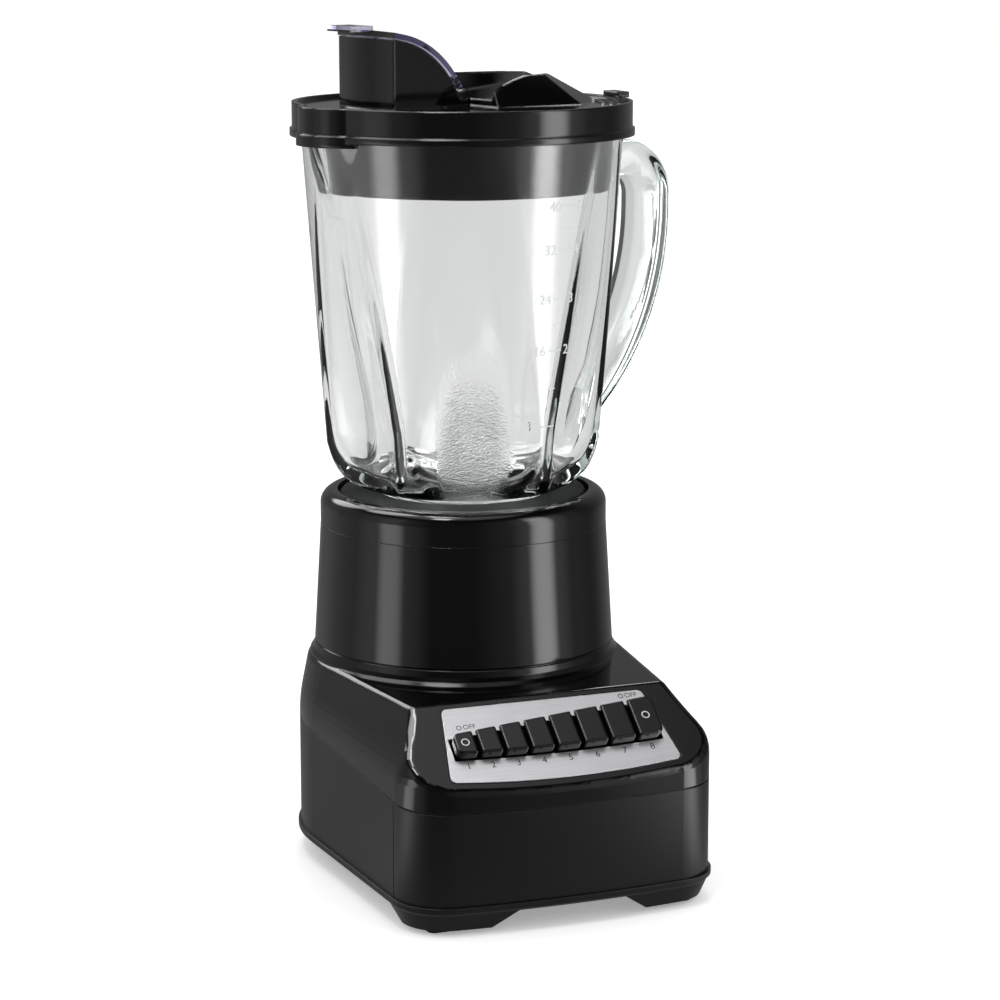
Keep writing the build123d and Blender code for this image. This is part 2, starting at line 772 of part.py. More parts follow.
fan_top = lower_bearing[0] - seat_gap
fan_bottom = fan_top - fan_height
shaft_top = drive_flange_top + coupling_height - 2
pieces["motor_shaft"] = disc(shaft_radius, fan_bottom, shaft_top)
armature = ring(armature_radius, shaft_radius, stator_bottom, stator_top)
slot_count = 12
for index in range(slot_count):
    slot = Pos(armature_radius, 0, (stator_bottom + stator_top) / 2) * Box(8, 2.4, stator_height + 4)
    armature -= Rot(0, 0, index * 360 / slot_count) * slot
pieces["armature"] = armature
pieces["commutator"] = ring(commutator_radius, shaft_radius, commutator_bottom, commutator_bottom + commutator_height)
fan = ring(fan_hub_radius, shaft_radius, fan_bottom, fan_top) + ring(fan_radius, shaft_radius, fan_top - 2, fan_top)
for index in range(fan_blades):
    vane = block(fan_hub_radius - 1, fan_radius, -fan_blade_thickness / 2, fan_blade_thickness / 2, fan_bottom, fan_top - 1)
    fan += Rot(0, 0, index * 360 / fan_blades) * vane
pieces["cooling_fan"] = fan
drive = disc(coupling_hex, drive_bottom, drive_flange_top)
drive += disc(coupling_flange, drive_flange_top - 1.5, drive_flange_top)
hex_post = extrude(RegularPolygon(coupling_hex, 6), coupling_height)
drive += Pos(0, 0, drive_flange_top) * hex_post
drive -= disc(shaft_radius, drive_bottom - 1, shaft_top)
pieces["drive_coupling"] = drive

# Jar foot: coupling, shaft, blades, bearing carrier, gasket and screw ring

jar_coupling_low = drive_flange_top + coupling_gap
jar_coupling_top = jar_collar_floor + jar_collar_thickness - coupling_gap
socket_depth = coupling_height + seat_gap
socket = extrude(RegularPolygon(coupling_hex + seat_gap, 6), socket_depth)
jar_coupling = disc(coupling_flange, jar_coupling_low, jar_coupling_top)
jar_coupling -= Pos(0, 0, jar_coupling_low) * socket
blade_shaft_low = jar_coupling_low + socket_depth + 0.5
jar_coupling -= disc(shaft_radius, blade_shaft_low, jar_coupling_top + 1)
pieces["jar_coupling"] = jar_coupling
stud_top = blade_seat + 2 * blade_thickness + nut_height - 1
pieces["blade_shaft"] = disc(shaft_radius, blade_shaft_low, blade_seat) + disc(blade_stud, blade_seat, stud_top)


def blade(low, tilt, turn):
    # A pressed steel strip with both wings bent by the same tilt
    wing_start = blade_hub_radius + 1
    plate = Rot(0, 0, turn) * block(-wing_start, wing_start, -blade_width / 2, blade_width / 2, low,
                                    low + blade_thickness)
    wing_length = (blade_reach - wing_start) / cos(radians(tilt))
    outline = Polyline((-2, -blade_width / 2), (wing_length, -blade_width / 6), (wing_length, blade_width / 6),
                       (-2, blade_width / 2), close=True)
    wing = extrude(make_face(outline), blade_thickness)
    for side in (0, 180):
        plate += Rot(0, 0, side + turn) * Pos(wing_start, 0, low) * Rot(0, -tilt, 0) * wing
    return plate - disc(blade_stud, low - blade_reach, low + blade_reach)


flat_keep = block(-huge, huge, -huge, huge, blade_seat + blade_thickness, huge)
pieces["lower_blade"] = blade(blade_seat, -lower_blade_tilt, 90) - flat_keep
pieces["upper_blade"] = blade(blade_seat + blade_thickness, upper_blade_tilt, 0) & flat_keep
nut_low = blade_seat + 2 * blade_thickness
nut_blank = Pos(0, 0, nut_low) * extrude(RegularPolygon(nut_radius, 6), nut_height)
pieces["blade_nut"] = nut_blank - disc(blade_stud, nut_low - 1, stud_top)

base_low = jar_collar_floor + jar_collar_thickness
base_top = base_low + blade_base_thickness
carrier = disc(blade_base_radius, base_low, base_top) + disc(blade_hub_radius, base_low, blade_seat - seat_gap)
pieces["blade_base"] = carrier - disc(shaft_radius + running_gap, base_low - 1, blade_seat + 1)
neck_bottom = base_top + gasket_thickness
pieces["jar_gasket"] = ring(blade_base_radius, neck_radius - neck_wall, base_top, neck_bottom)

ring_outer = turned([
    (0, seat_height), (socket_radius - seat_gap - 2.5, seat_height), (socket_radius - seat_gap, seat_height + 4),
    (socket_radius - seat_gap, jar_collar_top - 2), (socket_radius - seat_gap - 2, jar_collar_top), (0, jar_collar_top)])
jar_ring = ring_outer - disc(neck_radius + seat_gap, base_low, jar_collar_top + 1)
jar_ring -= disc(socket_radius - 8, seat_height - 1, jar_collar_floor)
jar_ring -= disc(jar_collar_hole, seat_height - 1, base_low + 1)
pieces["jar_collar"] = jar_ring

# Glass jar: fluted bowl, neck, pouring lip and handle

wall_lean = (jar_rim_radius - jar_foot_radius) / (jar_rim_height - jar_foot_height)


def jar_radius(height):
    return jar_foot_radius + (height - jar_foot_height) * wall_lean


def flute_cutter(turn, extra):
    # A leaning rod whose near side is the bed of the flute
    lean = atan(flute_slope)
    bed_radius = jar_radius(flute_apex)
    reach = flute_apex - flute_end + 2 * flute_radius
    rod = Cylinder(flute_radius + extra, 2 * reach)
    rod = Pos(bed_radius + flute_radius / cos(lean), 0, flute_apex) * Rot(0, degrees(lean), 0) * rod
    rod &= block(-huge, huge, -huge, huge, flute_end - extra, huge)
    return Rot(0, 0, turn) * rod


def lip_form(inset):
    start = Pos(-spout_start_centre, 0, spout_start) * Circle(spout_start_radius - inset)
    finish = Pos(-spout_centre, 0, jar_rim_height) * Circle(spout_radius - inset)
    return loft([start.face(), finish.face()], ruled=True)


def jar_form(inset, floor, neck, low, high):
    foot = [(jar_foot_radius - foot_inset - inward - inset, floor + up) for inward, up in foot_turns]
    bowl = turned([(0, low), (neck, low), (neck, floor)] + foot + [
        (jar_foot_radius - inset, jar_foot_height), (jar_radius(high) - inset, high), (0, high)])
    # The first place, under the handle, has no flute
    turns = [index * 360 / flute_count for index in range(1, flute_count)]
    for turn in turns:
        bowl -= flute_cutter(turn, inset)
    return bowl


outer_glass = jar_form(0, jar_floor, neck_radius, neck_bottom, jar_rim_height) + lip_form(0)
handle_line = FilletPolyline(*[(x, 0, z) for x, z in handle_path], radius=handle_bends)
handle_start = Plane(origin=handle_line @ 0, z_dir=handle_line % 0, x_dir=(0, 1, 0))
handle = sweep(handle_start * RectangleRounded(handle_width, handle_depth, handle_round), path=handle_line)
handle -= turned([(0, 0), (jar_foot_radius - 2 * glass_wall, 0), (jar_foot_radius - 2 * glass_wall, jar_foot_height),
                  (jar_rim_radius - glass_wall / 2, jar_rim_height), (0, jar_rim_height)])
hollow = jar_form(glass_wall, jar_floor + glass_wall, neck_radius - neck_wall, neck_bottom - 1, jar_rim_height + 1)
lip_hollow = lip_form(glass_wall)
pieces["glass_jar"] = outer_glass + handle - hollow - lip_hollow

# Lid: rim with a pouring bulge, plug, filler chute and grip mound


def lid_outline(margin):
    return Circle(lid_radius + margin) + Pos(-bulge_centre, 0) * Circle(bulge_radius + margin)


def lid_prism(low, high, margin=0.0):
    return Pos(0, 0, low) * extrude(lid_outline(margin), high - low)


lid_deck = lid_top - lid_recess
rim_seat = jar_rim_height + seat_gap
lid = lid_prism(lid_bottom, lid_top) + lid_prism(lid_bottom, lid_bottom + bead_height, lid_bead)
bulge_skirt = Pos(-bulge_centre, 0, lid_bottom - bulge_drop) * extrude(Circle(bulge_radius + lid_bead),
                                                                       bulge_drop + bead_height)
lid += bulge_skirt - disc(lid_radius - lid_wall, lid_bottom - bulge_drop - 1, lid_top)
lid = lid - lid_prism(lid_bottom - bulge_drop - 1, rim_seat, -lid_wall)
lid -= lid_prism(lid_deck, lid_top + 1, -rim_land)
plug_high = plug_radius + plug_taper
lid += turned([(0, plug_bottom), (plug_radius, plug_bottom), (plug_high, rim_seat), (0, rim_seat)])
lid -= turned([(0, plug_bottom - 1), (plug_radius - lid_wall, plug_bottom - 1),
               (plug_high - lid_wall, lid_deck - lid_wall), (0, lid_deck - lid_wall)])


def chute_face(margin):
    outline = [
        ThreePointArc((-chute_round_x, -chute_half_width - margin), (-chute_reach - margin, 0),
                      (-chute_round_x, chute_half_width + margin)),
        Line((-chute_round_x, chute_half_width + margin), (margin - chute_end_x, chute_hinge_half + margin)),
        Line((margin - chute_end_x, chute_hinge_half + margin), (margin - chute_end_x, -chute_hinge_half - margin)),
        Line((margin - chute_end_x, -chute_hinge_half - margin), (-chute_round_x, -chute_half_width - margin)),
    ]
    return make_face(outline)


def chute_prism(low, high, margin=0.0):
    return Pos(0, 0, low) * extrude(chute_face(margin), high - low)


crown_line = Line((-2 * cap_tab_reach, cap_top + (2 * cap_tab_reach - cap_bend_x) * cap_fall),
                  (-cap_bend_x, cap_top))
crown_arc = TangentArc((-cap_bend_x, cap_top), (cap_end_x, chute_base), tangent=(1, -cap_fall))
crown_face = make_face([crown_line, crown_arc, Polyline(crown_arc @ 1, (cap_end_x, plug_bottom),
                                                        (-2 * cap_tab_reach, plug_bottom), crown_line @ 0)])


def cap_crown(inset):
    # Everything below the arched line of the cap, seen from the front
    face = offset(crown_face, -inset, kind=Kind.INTERSECTION) if inset else crown_face
    return extrude(Plane.XZ * face, huge, both=True)


chute_top = cap_top + (cap_tab_reach - cap_bend_x) * cap_fall
chute = chute_prism(lid_deck - lid_wall, chute_base) + (chute_prism(chute_base, chute_top + 1)
                                                     & cap_crown(cap_thickness + seat_gap))
mound_low = [Pos(0, 0, lid_deck - lid_wall / 2) * make_face(Polyline(*(
    [(x, -y) for x, y in mound_base] + [(x, y) for x, y in reversed(mound_base)]), close=True))]
mound_high = [Pos(0, 0, mound_top) * make_face(Polyline(*(
    [(x, -y) for x, y in mound_crest] + [(x, y) for x, y in reversed(mound_crest)]), close=True))]
mound = loft([mound_low[0].face(), mound_high[0].face()], ruled=True)
channel_high = mound_top + 5


def channel_section(index, station):
    near = channel_near[index]
    far = channel_far[index]
    flare = channel_flare[index]
    low = channel_low[index]
    points = [(-near, low), (far, low), (far + flare, channel_high), (-near - flare, channel_high)]
    return Pos(station, 0, 0) * (Plane.YZ * make_face(Polyline(*points, close=True)))


channel = loft([channel_section(0, channel_from).face(), channel_section(1, channel_to).face()], ruled=True)
lid += mound - channel
lid += chute
lid -= chute_prism(plug_bottom - 1, chute_top + 2, -chute_wall)
for radius in grip_lines:
    arc_ring = ring(radius + 0.7, radius - 0.7, lid_deck - 0.5, lid_deck + grip_height)
    wedge = Pos(0, 0, lid_deck) * extrude(make_face(Polyline((0, 0), (2 * radius, -2 * radius * tan(
        radians(grip_half_angle))), (2 * radius, 2 * radius * tan(radians(grip_half_angle))), close=True)), 4, both=True)
    lid += Rot(0, 0, grip_turn) * (arc_ring & wedge) - mound
lift_tab = block(lid_radius - rim_land, tab_reach, -tab_half_width, tab_half_width, lid_top + tab_rise - tab_thickness,
                 lid_top + tab_rise)
lid += Rot(0, 0, grip_turn) * lift_tab
for side in (-1, 1):
    y_low = min(side * (barrel_half + seat_gap), side * (barrel_half + seat_gap + ear_width))
    ear = block(hinge_x - hinge_barrel, hinge_x + hinge_barrel, y_low, y_low + ear_width, lid_deck - lid_wall / 2,
                hinge_z)
    ear += Pos(hinge_x, y_low + ear_width / 2, hinge_z) * Rot(90, 0, 0) * Cylinder(hinge_barrel, ear_width)
    lid += ear
hinge_axis = Pos(hinge_x, 0, hinge_z) * Rot(90, 0, 0)
pin_length = 2 * (barrel_half + seat_gap + ear_width)
lid -= hinge_axis * Cylinder(hinge_pin_radius + screw_gap, pin_length + 2)
lid -= block(-chute_end_x - chute_wall - 1, hinge_x + hinge_barrel + 1, -barrel_half - seat_gap, barrel_half + seat_gap,
             lid_deck + 0.3, chute_top)
pieces["lid"] = lid
pieces["cap_hinge_pin"] = hinge_axis * Cylinder(hinge_pin_radius, pin_length)

# Filler cap: an arched smoky sheet with a thumb tab and a hinge barrel

sheet = cap_crown(0) - cap_crown(cap_thickness)
cap = sheet & chute_prism(chute_base - 1, chute_top + 2, cap_overhang)
cap += block(-cap_tab_reach, -chute_round_x, -cap_tab_half, cap_tab_half, chute_top - cap_thickness, chute_top) \
    - chute_prism(chute_base, chute_top + 1, -cap_overhang)
barrel = hinge_axis * Cylinder(hinge_barrel, 2 * barrel_half)
cap -= block(-chute_end_x - cap_thickness - 2, huge, barrel_half, huge, 0, hinge_z + hinge_barrel + 1)
cap -= block(-chute_end_x - cap_thickness - 2, huge, -huge, -barrel_half, 0, hinge_z + hinge_barrel + 1)
cap += barrel
cap -= hinge_axis * Cylinder(hinge_pin_radius + running_gap, pin_length)
pieces["filler_cap"] = cap

# The jar stands turned on the base, and the lid and the cap turn with it

for name in ("glass_jar", "lid", "cap_hinge_pin", "filler_cap"):
    pieces[name] = Rot(0, 0, jar_turn) * pieces[name]

# The part's origin is the middle of its footprint box, on the surface that it stands on

boxes = [piece.bounding_box() for piece in pieces.values()]
middle_x = (min(box.min.X for box in boxes) + max(box.max.X for box in boxes)) / 2
middle_y = (min(box.min.Y for box in boxes) + max(box.max.Y for box in boxes)) / 2
to_origin = Pos(-middle_x, -middle_y, -min(box.min.Z for box in boxes))

os.makedirs("parts", exist_ok=True)
for name, piece in pieces.items():
    export_step(to_origin * piece, "parts/" + name + ".step")
print("jar axis at", round(-middle_x, 4), round(-middle_y, 4), "top", max(box.max.Z for box in boxes))
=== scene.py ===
import math

import bmesh
import bpy
from mathutils import Matrix, Vector


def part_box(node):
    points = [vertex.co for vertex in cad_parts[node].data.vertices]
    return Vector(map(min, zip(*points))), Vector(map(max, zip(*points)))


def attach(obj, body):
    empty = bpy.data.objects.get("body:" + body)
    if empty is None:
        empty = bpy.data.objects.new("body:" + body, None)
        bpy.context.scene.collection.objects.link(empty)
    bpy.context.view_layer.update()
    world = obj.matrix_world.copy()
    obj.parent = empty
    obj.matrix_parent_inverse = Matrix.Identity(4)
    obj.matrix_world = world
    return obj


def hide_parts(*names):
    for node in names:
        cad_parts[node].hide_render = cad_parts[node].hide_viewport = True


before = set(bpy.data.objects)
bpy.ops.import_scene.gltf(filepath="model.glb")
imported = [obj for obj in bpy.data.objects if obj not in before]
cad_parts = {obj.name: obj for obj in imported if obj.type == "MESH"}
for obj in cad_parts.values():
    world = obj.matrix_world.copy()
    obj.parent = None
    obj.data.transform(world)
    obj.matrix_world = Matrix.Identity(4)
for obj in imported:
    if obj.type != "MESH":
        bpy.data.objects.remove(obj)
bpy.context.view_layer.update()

# The jar's axis in the row frame. Heights below are millimetres above the surface that the feet stand on.
shaftLow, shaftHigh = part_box("blade_shaft")
axisX = (shaftLow[0] + shaftHigh[0]) / 2
axisY = (shaftLow[1] + shaftHigh[1]) / 2
mm = 0.001


def place(x, y, z):
    return Vector((axisX + x * mm, axisY + y * mm, z * mm))


# Camera at the photograph's viewing angle

cameraFacts = {"place": (-462.3, -1236.5, 421.8), "turn": 21.215, "pitch": 11.331, "lens": 108.0, "sensor": 36.0}
cameraData = bpy.data.cameras.new("studioCamera")
cameraData.lens = cameraFacts["lens"]
cameraData.sensor_width = cameraFacts["sensor"]
cameraData.sensor_fit = "HORIZONTAL"
cameraData.clip_end = 20
camera = bpy.data.objects.new("studioCamera", cameraData)
bpy.context.scene.collection.objects.link(camera)
camera.location = place(*cameraFacts["place"])
turn = math.radians(cameraFacts["turn"])
pitch = math.radians(cameraFacts["pitch"])
lookAlong = Vector((math.sin(turn) * math.cos(pitch), math.cos(turn) * math.cos(pitch), -math.sin(pitch)))
camera.rotation_euler = lookAlong.to_track_quat("-Z", "Y").to_euler()
bpy.context.scene.camera = camera
bpy.context.scene.view_settings.view_transform = "Standard"
print("camera placed")

# Materials


def linear(hexText):
    def channel(value):
        return value / 12.92 if value <= 0.04045 else ((value + 0.055) / 1.055) ** 2.4

    return tuple(channel(int(hexText[i:i + 2], 16) / 255) for i in (1, 3, 5)) + (1.0,)


def addNode(tree, kind, settings=None, inputs=None):
    node = tree.nodes.new(kind)
    for key, value in (settings or {}).items():
        setattr(node, key, value)
    for key, value in (inputs or {}).items():
        if hasattr(value, "is_linked"):
            tree.links.new(value, node.inputs[key])
        else:
            node.inputs[key].default_value = value
    return node


def newMaterial(name):
    material = bpy.data.materials.new(name)
    material.use_nodes = True
    return material, material.node_tree, material.node_tree.nodes["Principled BSDF"]


def surfaced(name, facts):
    # One noise field in real millimetres tints the colour and the polish, a second one gives the skin its relief,
    # and edges are shaded round by the radius that the process leaves
    material, tree, shader = newMaterial(name)
    coordinates = addNode(tree, "ShaderNodeTexCoord")
    perMetre = 1 / mm
    broadScale = addNode(tree, "ShaderNodeMapping", None, {
        "Vector": coordinates.outputs["Object"], "Scale": tuple(perMetre / step for step in facts["broad"])})
    broad = addNode(tree, "ShaderNodeTexNoise", None, {
        "Vector": broadScale.outputs["Vector"], "Scale": 1.0, "Detail": 3.0})
    fineScale = addNode(tree, "ShaderNodeMapping", None, {
        "Vector": coordinates.outputs["Object"], "Scale": tuple(perMetre / step for step in facts["fine"])})
    fine = addNode(tree, "ShaderNodeTexNoise", None, {
        "Vector": fineScale.outputs["Vector"], "Scale": 1.0, "Detail": 3.0})
    colour = addNode(tree, "ShaderNodeMix", {"data_type": "RGBA"}, {
        "Factor": broad.outputs["Fac"], 6: linear(facts["dark"]), 7: linear(facts["light"])})
    tree.links.new(colour.outputs[2], shader.inputs["Base Color"])
    polish = addNode(tree, "ShaderNodeMapRange", None, {
        "Value": broad.outputs["Fac"], "To Min": facts["rough"][0], "To Max": facts["rough"][1]})
    tree.links.new(polish.outputs["Result"], shader.inputs["Roughness"])
    edge = addNode(tree, "ShaderNodeBevel", {"samples": 6}, {"Radius": facts.get("edge", 0.3) * mm})
    skin = addNode(tree, "ShaderNodeBump", None, {
        "Height": fine.outputs["Fac"], "Distance": facts["relief"] * mm, "Strength": 1.0,
        "Normal": edge.outputs["Normal"]})
    tree.links.new(skin.outputs["Normal"], shader.inputs["Normal"])
    shader.inputs["Metallic"].default_value = facts.get("metal", 0.0)
    shader.inputs["Specular IOR Level"].default_value = facts.get("specular", 0.5)
    return material


# Deep black with clear, slightly wavy reflections
glossBlack = surfaced("polishedBlackAbs", {
    "dark": "#060607", "light": "#09090a", "rough": (0.06, 0.10), "broad": (40, 40, 40), "fine": (3, 3, 3),
    "relief": 0.003, "edge": 0.6})
# Greyer black whose reflections spread into broad gradients
satinBlack = surfaced("satinBlackAbs", {
    "dark": "#0b0b0d", "light": "#0f0f11", "rough": (0.30, 0.37), "broad": (40, 40, 40), "fine": (0.6, 0.6, 0.6),
    "relief": 0.005, "edge": 0.6, "specular": 0.4})
# Lid moulding: bright lines along its rounded rims
lidBlack = surfaced("polishedBlackPolypropylene", {
    "dark": "#060607", "light": "#09090a", "rough": (0.06, 0.11), "broad": (40, 40, 40), "fine": (4, 4, 4),
    "relief": 0.004, "edge": 1.8})
# Dull black ring between the glass and the base
collarBlack = surfaced("blackNylon", {
    "dark": "#050506", "light": "#08080a", "rough": (0.45, 0.55), "broad": (30, 30, 30), "fine": (0.8, 0.8, 0.8),
    "relief": 0.008, "edge": 0.5, "specular": 0.06})
# Keycaps with clear rounded edges that catch the light
buttonBlack = surfaced("polishedBlackKeycap", {
    "dark": "#09090a", "light": "#0d0d0f", "rough": (0.09, 0.14), "broad": (12, 12, 12), "fine": (2, 2, 2),
    "relief": 0.003, "edge": 0.7})
# Dark grey parts inside the base
darkNylon = surfaced("greyNylon", {
    "dark": "#26262a", "light": "#303036", "rough": (0.40, 0.55), "broad": (20, 20, 20), "fine": (0.8, 0.8, 0.8),
    "relief": 0.01})
# Tough drive parts, matt black
couplingBlack = surfaced("blackAcetal", {
    "dark": "#101012", "light": "#17171a", "rough": (0.35, 0.45), "broad": (15, 15, 15), "fine": (0.8, 0.8, 0.8),
    "relief": 0.01})
# Matt rubber with no highlights
footRubber = surfaced("mouldedRubber", {
    "dark": "#0b0b0c", "light": "#131314", "rough": (0.70, 0.85), "broad": (10, 10, 10), "fine": (0.5, 0.5, 0.5),
    "relief": 0.03, "specular": 0.3})
# Dull grey sealing ring
gasketRubber = surfaced("greySilicone", {
    "dark": "#4d4d4f", "light": "#5b5b5d", "rough": (0.55, 0.70), "broad": (10, 10, 10), "fine": (0.5, 0.5, 0.5),
    "relief": 0.02, "specular": 0.35})
# Grainy dark grey brush blocks
carbonBlock = surfaced("pressedCarbon", {
    "dark": "#101011", "light": "#1b1b1d", "rough": (0.55, 0.70), "broad": (4, 4, 4), "fine": (0.3, 0.3, 0.3),
    "relief": 0.02, "specular": 0.4})
# Silver panel, brushed along its length
plateSilver = surfaced("brushedAluminiumPlate", {
    "dark": "#d2d2d5", "light": "#ececee", "rough": (0.32, 0.42), "broad": (18, 0.35, 0.35), "fine": (15, 0.25, 0.25),
    "relief": 0.003, "metal": 1.0, "edge": 0.2})
# Bright ground steel of the blades and shafts
bladeSteel = surfaced("groundStainlessSteel", {
    "dark": "#a7a8aa", "light": "#c4c5c7", "rough": (0.20, 0.30), "broad": (6, 0.4, 0.4), "fine": (6, 0.3, 0.3),
    "relief": 0.003, "metal": 1.0})
# Plain plated fasteners
screwSteel = surfaced("zincPlatedSteel", {
    "dark": "#8f9296", "light": "#b2b5b9", "rough": (0.30, 0.42), "broad": (3, 3, 3), "fine": (0.5, 0.5, 0.5),
    "relief": 0.004, "metal": 1.0})
# Dark stacked sheets of the motor cores
coreSteel = surfaced("laminatedCoreSteel", {
    "dark": "#3a3b40", "light": "#54555b", "rough": (0.45, 0.60), "broad": (20, 20, 0.5), "fine": (20, 20, 0.5),
    "relief": 0.02, "metal": 1.0})
# Grey cast brackets
castBracket = surfaced("dieCastZinc", {
    "dark": "#85878a", "light": "#9c9ea1", "rough": (0.42, 0.55), "broad": (8, 8, 8), "fine": (0.8, 0.8, 0.8),
    "relief": 0.012, "metal": 1.0})
# Wound copper with fine lines of wire
copperWire = surfaced("enamelledCopperWire", {
    "dark": "#8a3f1c", "light": "#b85f30", "rough": (0.28, 0.40), "broad": (18, 18, 0.6), "fine": (18, 18, 0.6),
    "relief": 0.05, "metal": 1.0})
# Dark pin that hardly shows between the hinge ears
blackenedSteel = surfaced("blackenedSteel", {
    "dark": "#1c1c1e", "light": "#29292c", "rough": (0.35, 0.45), "broad": (3, 3, 3), "fine": (0.5, 0.5, 0.5),
    "relief": 0.004, "metal": 1.0})
# Dull yellow bearing bushes
sinteredBronze = surfaced("sinteredBronze", {
    "dark": "#8a6a3a", "light": "#a5824b", "rough": (0.42, 0.55), "broad": (4, 4, 4), "fine": (0.4, 0.4, 0.4),
    "relief": 0.01, "metal": 1.0})


def clearBody(name, facts):
    # See-through solid: ripples left by the mould, a tint that deepens with thickness, and lamps that shine through
    material, tree, shader = newMaterial(name)
    shader.inputs["Base Color"].default_value = linear(facts["surface"])
    shader.inputs["Transmission Weight"].default_value = 1.0
    shader.inputs["Roughness"].default_value = facts["rough"]
    shader.inputs["IOR"].default_value = facts["bending"]
    coordinates = addNode(tree, "ShaderNodeTexCoord")
    ripples = addNode(tree, "ShaderNodeTexNoise", None, {
        "Vector": coordinates.outputs["Object"], "Scale": 1 / (facts["rippleSize"] * mm), "Detail": 1.0})
    skin = addNode(tree, "ShaderNodeBump", None, {
        "Height": ripples.outputs["Fac"], "Distance": facts["ripple"] * mm, "Strength": 1.0})
    stipple = facts.get("stipple")
    if stipple:
        # Fine pips on one flute, which fade out towards its top and its sides
        way = math.radians(stipple["azimuth"])
        inwards = Vector((-axisX, -axisY, 0))
        fromAxis = addNode(tree, "ShaderNodeVectorMath", None, {0: coordinates.outputs["Object"], 1: inwards})
        pips = addNode(tree, "ShaderNodeTexVoronoi", None, {
            "Vector": coordinates.outputs["Object"], "Scale": 1 / (stipple["size"] * mm)}).outputs["Distance"]
        for towards, start, full in (((-math.sin(way), math.cos(way), 0), *stipple["aside"]),
                                     ((math.sin(way), -math.cos(way), 0), *stipple["aside"]),
                                     ((math.cos(way), math.sin(way), 0), *stipple["out"]),
                                     ((0, 0, 1), *stipple["up"])):
            along = addNode(tree, "ShaderNodeVectorMath", {"operation": "DOT_PRODUCT"}, {
                0: fromAxis.outputs["Vector"], 1: towards})
            share = addNode(tree, "ShaderNodeMapRange", None, {
                "Value": along.outputs["Value"], "From Min": start * mm, "From Max": full * mm})
            pips = addNode(tree, "ShaderNodeMath", {"operation": "MULTIPLY"}, {
                0: pips, 1: share.outputs["Result"]}).outputs[0]
        skin = addNode(tree, "ShaderNodeBump", None, {
            "Height": pips, "Distance": stipple["depth"] * mm, "Strength": 1.0, "Normal": skin.outputs["Normal"]})
    tree.links.new(skin.outputs["Normal"], shader.inputs["Normal"])
    rays = addNode(tree, "ShaderNodeLightPath")
    lampWay = addNode(tree, "ShaderNodeBsdfTransparent", None, {"Color": linear(facts["shade"])})
    either = addNode(tree, "ShaderNodeMixShader", None, {
        0: rays.outputs["Is Shadow Ray"], 1: shader.outputs["BSDF"], 2: lampWay.outputs["BSDF"]})
    finish = tree.nodes["Material Output"]
    tree.links.new(either.outputs["Shader"], finish.inputs["Surface"])
    inside = addNode(tree, "ShaderNodeVolumeAbsorption", None, {
        "Color": linear(facts["inside"]), "Density": facts["density"]})
    tree.links.new(inside.outputs["Volume"], finish.inputs["Volume"])
    return material


# Thick pressed glass: clear faces, grey-green edges
jarGlass = clearBody("pressedClearGlass", {
    "surface": "#ffffff", "inside": "#9fc0b8", "density": 9.0, "rough": 0.0, "bending": 1.5, "ripple": 0.05,
    "rippleSize": 14.0, "shade": "#e6e8e8", "stipple": {
        "azimuth": 255.0, "size": 0.8, "depth": 0.7, "aside": (17.0, 9.0), "out": (20.0, 30.0),
        "up": (240.0, 180.0)}})
# Smoky sheet with a lavender edge
smokyCap = clearBody("smokyPolycarbonate", {
    "surface": "#e9e6f4", "inside": "#6a62a0", "density": 70.0, "rough": 0.03, "bending": 1.58, "ripple": 0.01,
    "rippleSize": 14.0, "shade": "#8c88a4"})

materialOf = {
    "upper_housing": glossBlack, "top_collar": glossBlack, "lower_housing": satinBlack, "bottom_cover": satinBlack,
    "cord_inlet": satinBlack, "lid": lidBlack, "jar_collar": collarBlack, "control_plate": plateSilver,
    "rubber_feet": footRubber, "motor_mounts": footRubber, "jar_gasket": gasketRubber, "glass_jar": jarGlass,
    "filler_cap": smokyCap, "housing_screws": screwSteel, "collar_screws": screwSteel, "switch_screws": screwSteel,
    "motor_bolts": screwSteel, "mount_screws": screwSteel, "motor_shaft": bladeSteel, "blade_shaft": bladeSteel,
    "lower_blade": bladeSteel, "upper_blade": bladeSteel, "blade_nut": bladeSteel, "cap_hinge_pin": blackenedSteel,
    "blade_base": bladeSteel, "motor_stator": coreSteel, "armature": coreSteel, "upper_bracket": castBracket,
    "lower_bracket": castBracket, "field_coils": copperWire, "commutator": copperWire,
    "shaft_bearings": sinteredBronze, "carbon_brushes": carbonBlock, "switch_body": darkNylon,
    "latch_bar": darkNylon, "brush_holders": darkNylon, "cooling_fan": darkNylon, "drive_coupling": couplingBlack,
    "jar_coupling": couplingBlack,
}
for name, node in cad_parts.items():
    material = buttonBlack if name.startswith("button_") else materialOf[name]
    node.data.materials.clear()
    node.data.materials.append(material)
print("materials on", len(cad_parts), "nodes")

# Glass jar with its handle, drawn with the pouring lip towards -X and the handle towards +X, then turned

